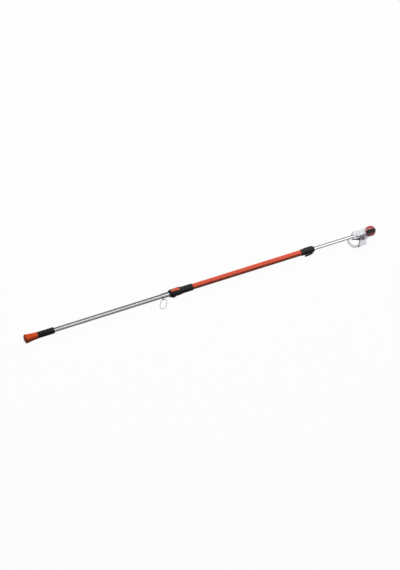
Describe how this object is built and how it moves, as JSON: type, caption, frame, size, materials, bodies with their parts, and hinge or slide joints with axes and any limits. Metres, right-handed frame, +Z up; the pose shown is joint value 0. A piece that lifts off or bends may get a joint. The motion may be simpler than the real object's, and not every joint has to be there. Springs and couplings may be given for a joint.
{
  "type": "tree pruner pole",
  "caption": "Telescopic tree pruner pole with a pull knob at the foot, flip-lever tube clamps, a hanging ring and a tilting hook-and-blade head worked by an inner cord.",
  "frame": {"origin": "middle of the main tube, on the pole's axis", "axes": "+X along the pole from the foot to the tip, +Z up from the surface that it lies on, jaw and ring towards -Y"},
  "size_m": [1.9228, 0.09, 0.0518],
  "materials": {
    "orange_paint": "satin paint",
    "orange_plastic": "satin moulded",
    "black_plastic": "fine grained",
    "black_rubber": "ribbed, matt",
    "grey_plastic": "plain moulded",
    "aluminium": "drawn tube, anodised",
    "cast_aluminium": "tumbled casting",
    "red_plastic": "glossy moulded",
    "steel": "plated",
    "dark_steel": "hardened, ground edge",
    "black_steel": "blackened",
    "chrome": "bright wire",
    "brass": "turned",
    "cord": "braided"
  },
  "bodies": {
    "main": {"main_tube": "orange_paint", "guide_nose": "aluminium", "collar_body": "black_plastic", "collar_sleeve": "black_plastic", "collar_bolt": "black_steel", "collar_nut": "black_steel", "collar_pin": "steel", "clamp_body": "black_plastic", "clamp_bush": "grey_plastic", "clamp_bolt": "black_steel", "clamp_nut": "black_steel", "clamp_pin": "steel"},
    "collar_lever": {"collar_lever": "orange_plastic", "collar_lever_tip": "black_plastic"},
    "clamp_lever": {"clamp_lever": "black_plastic"},
    "ring": {"hanging_ring": "chrome"},
    "lower": {"lower_tube": "aluminium", "lower_guide": "grey_plastic", "grip_sleeve": "black_rubber", "foot_plug": "black_plastic"},
    "knob": {"pull_knob": "orange_plastic", "knob_cap": "orange_plastic", "cord_ferrule": "brass", "cord_lower": "cord"},
    "cord_middle": {"cord_middle": "cord"},
    "upper": {"upper_tube": "aluminium", "upper_guide": "grey_plastic", "head_bracket": "cast_aluminium", "bracket_rivets": "steel", "hub_bolt": "steel", "hub_cap": "red_plastic", "cord_neck": "cord"},
    "cord_upper": {"cord_upper": "cord"},
    "tilt_knob": {"tilt_knob": "red_plastic", "tilt_wing": "black_plastic", "tilt_insert": "brass"},
    "head": {"hook_jaw": "steel", "jaw_cover": "steel", "jaw_spacer": "steel", "pivot_bolt": "dark_steel", "pivot_nut": "steel", "pivot_sleeve": "steel", "hub_spacers": "steel", "return_spring": "steel", "cord_head": "cord"},
    "blade": {"blade": "dark_steel", "blade_sector": "dark_steel", "sector_rivets": "steel"},
    "pulley": {"cord_pulley": "grey_plastic"}
  },
  "joints": [
    {"name": "lower_slide", "type": "slide", "parent": "main", "child": "lower", "axis": [1, 0, 0], "range_m": [-0.08, 0.3]},
    {"name": "upper_slide", "type": "slide", "parent": "main", "child": "upper", "axis": [-1, 0, 0], "range_m": [-0.08, 0.13]},
    {"name": "collar_lever_flip", "type": "hinge", "parent": "main", "child": "collar_lever", "pos_m": [-0.352, 0.00995, 0.01723], "axis": [0, 0.866, -0.5], "range_deg": [0, 95]},
    {"name": "clamp_lever_flip", "type": "hinge", "parent": "main", "child": "clamp_lever", "pos_m": [0.38, -0.0184, 0], "axis": [0, 0, 1], "range_deg": [0, 95]},
    {"name": "ring_swing", "type": "hinge", "parent": "main", "child": "ring", "pos_m": [-0.44, -0.01718, 0], "axis": [1, 0, 0], "range_deg": [-125, 85]},
    {"name": "knob_pull", "type": "slide", "parent": "lower", "child": "knob", "axis": [-1, 0, 0], "range_m": [0, 0.015], "stiffness_N_per_m": 150, "springref_m": -0.01},
    {"name": "cord_middle_slide", "type": "slide", "parent": "main", "child": "cord_middle", "axis": [-1, 0, 0], "range_m": [0, 0.0151]},
    {"name": "cord_upper_slide", "type": "slide", "parent": "upper", "child": "cord_upper", "axis": [-1, 0, 0], "range_m": [0, 0.0151]},
    {"name": "head_tilt", "type": "hinge", "parent": "upper", "child": "head", "pos_m": [0.708, 0, 0], "axis": [0, 0, 1], "range_deg": [0, 200]},
    {"name": "tilt_knob_turn", "type": "hinge", "parent": "upper", "child": "tilt_knob", "pos_m": [0.708, 0, 0], "axis": [0, 0, 1], "range_deg": [0, 90]},
    {"name": "blade_close", "type": "hinge", "parent": "head", "child": "blade", "pos_m": [0.661, -0.024, 0], "axis": [0, 0, 1], "range_deg": [0, 43.5]},
    {"name": "pulley_spin", "type": "hinge", "parent": "head", "child": "pulley", "pos_m": [0.708, 0, 0], "axis": [0, 0, 1], "range_deg": [0, 139.5]}
  ],
  "couplings": [
    {"joint": "blade_close", "follows": "knob_pull", "rad_per_m": 50},
    {"joint": "pulley_spin", "follows": "knob_pull", "rad_per_m": 161.29},
    {"joint": "cord_middle_slide", "follows": "knob_pull", "ratio": 1},
    {"joint": "cord_upper_slide", "follows": "knob_pull", "ratio": 1}
  ]
}
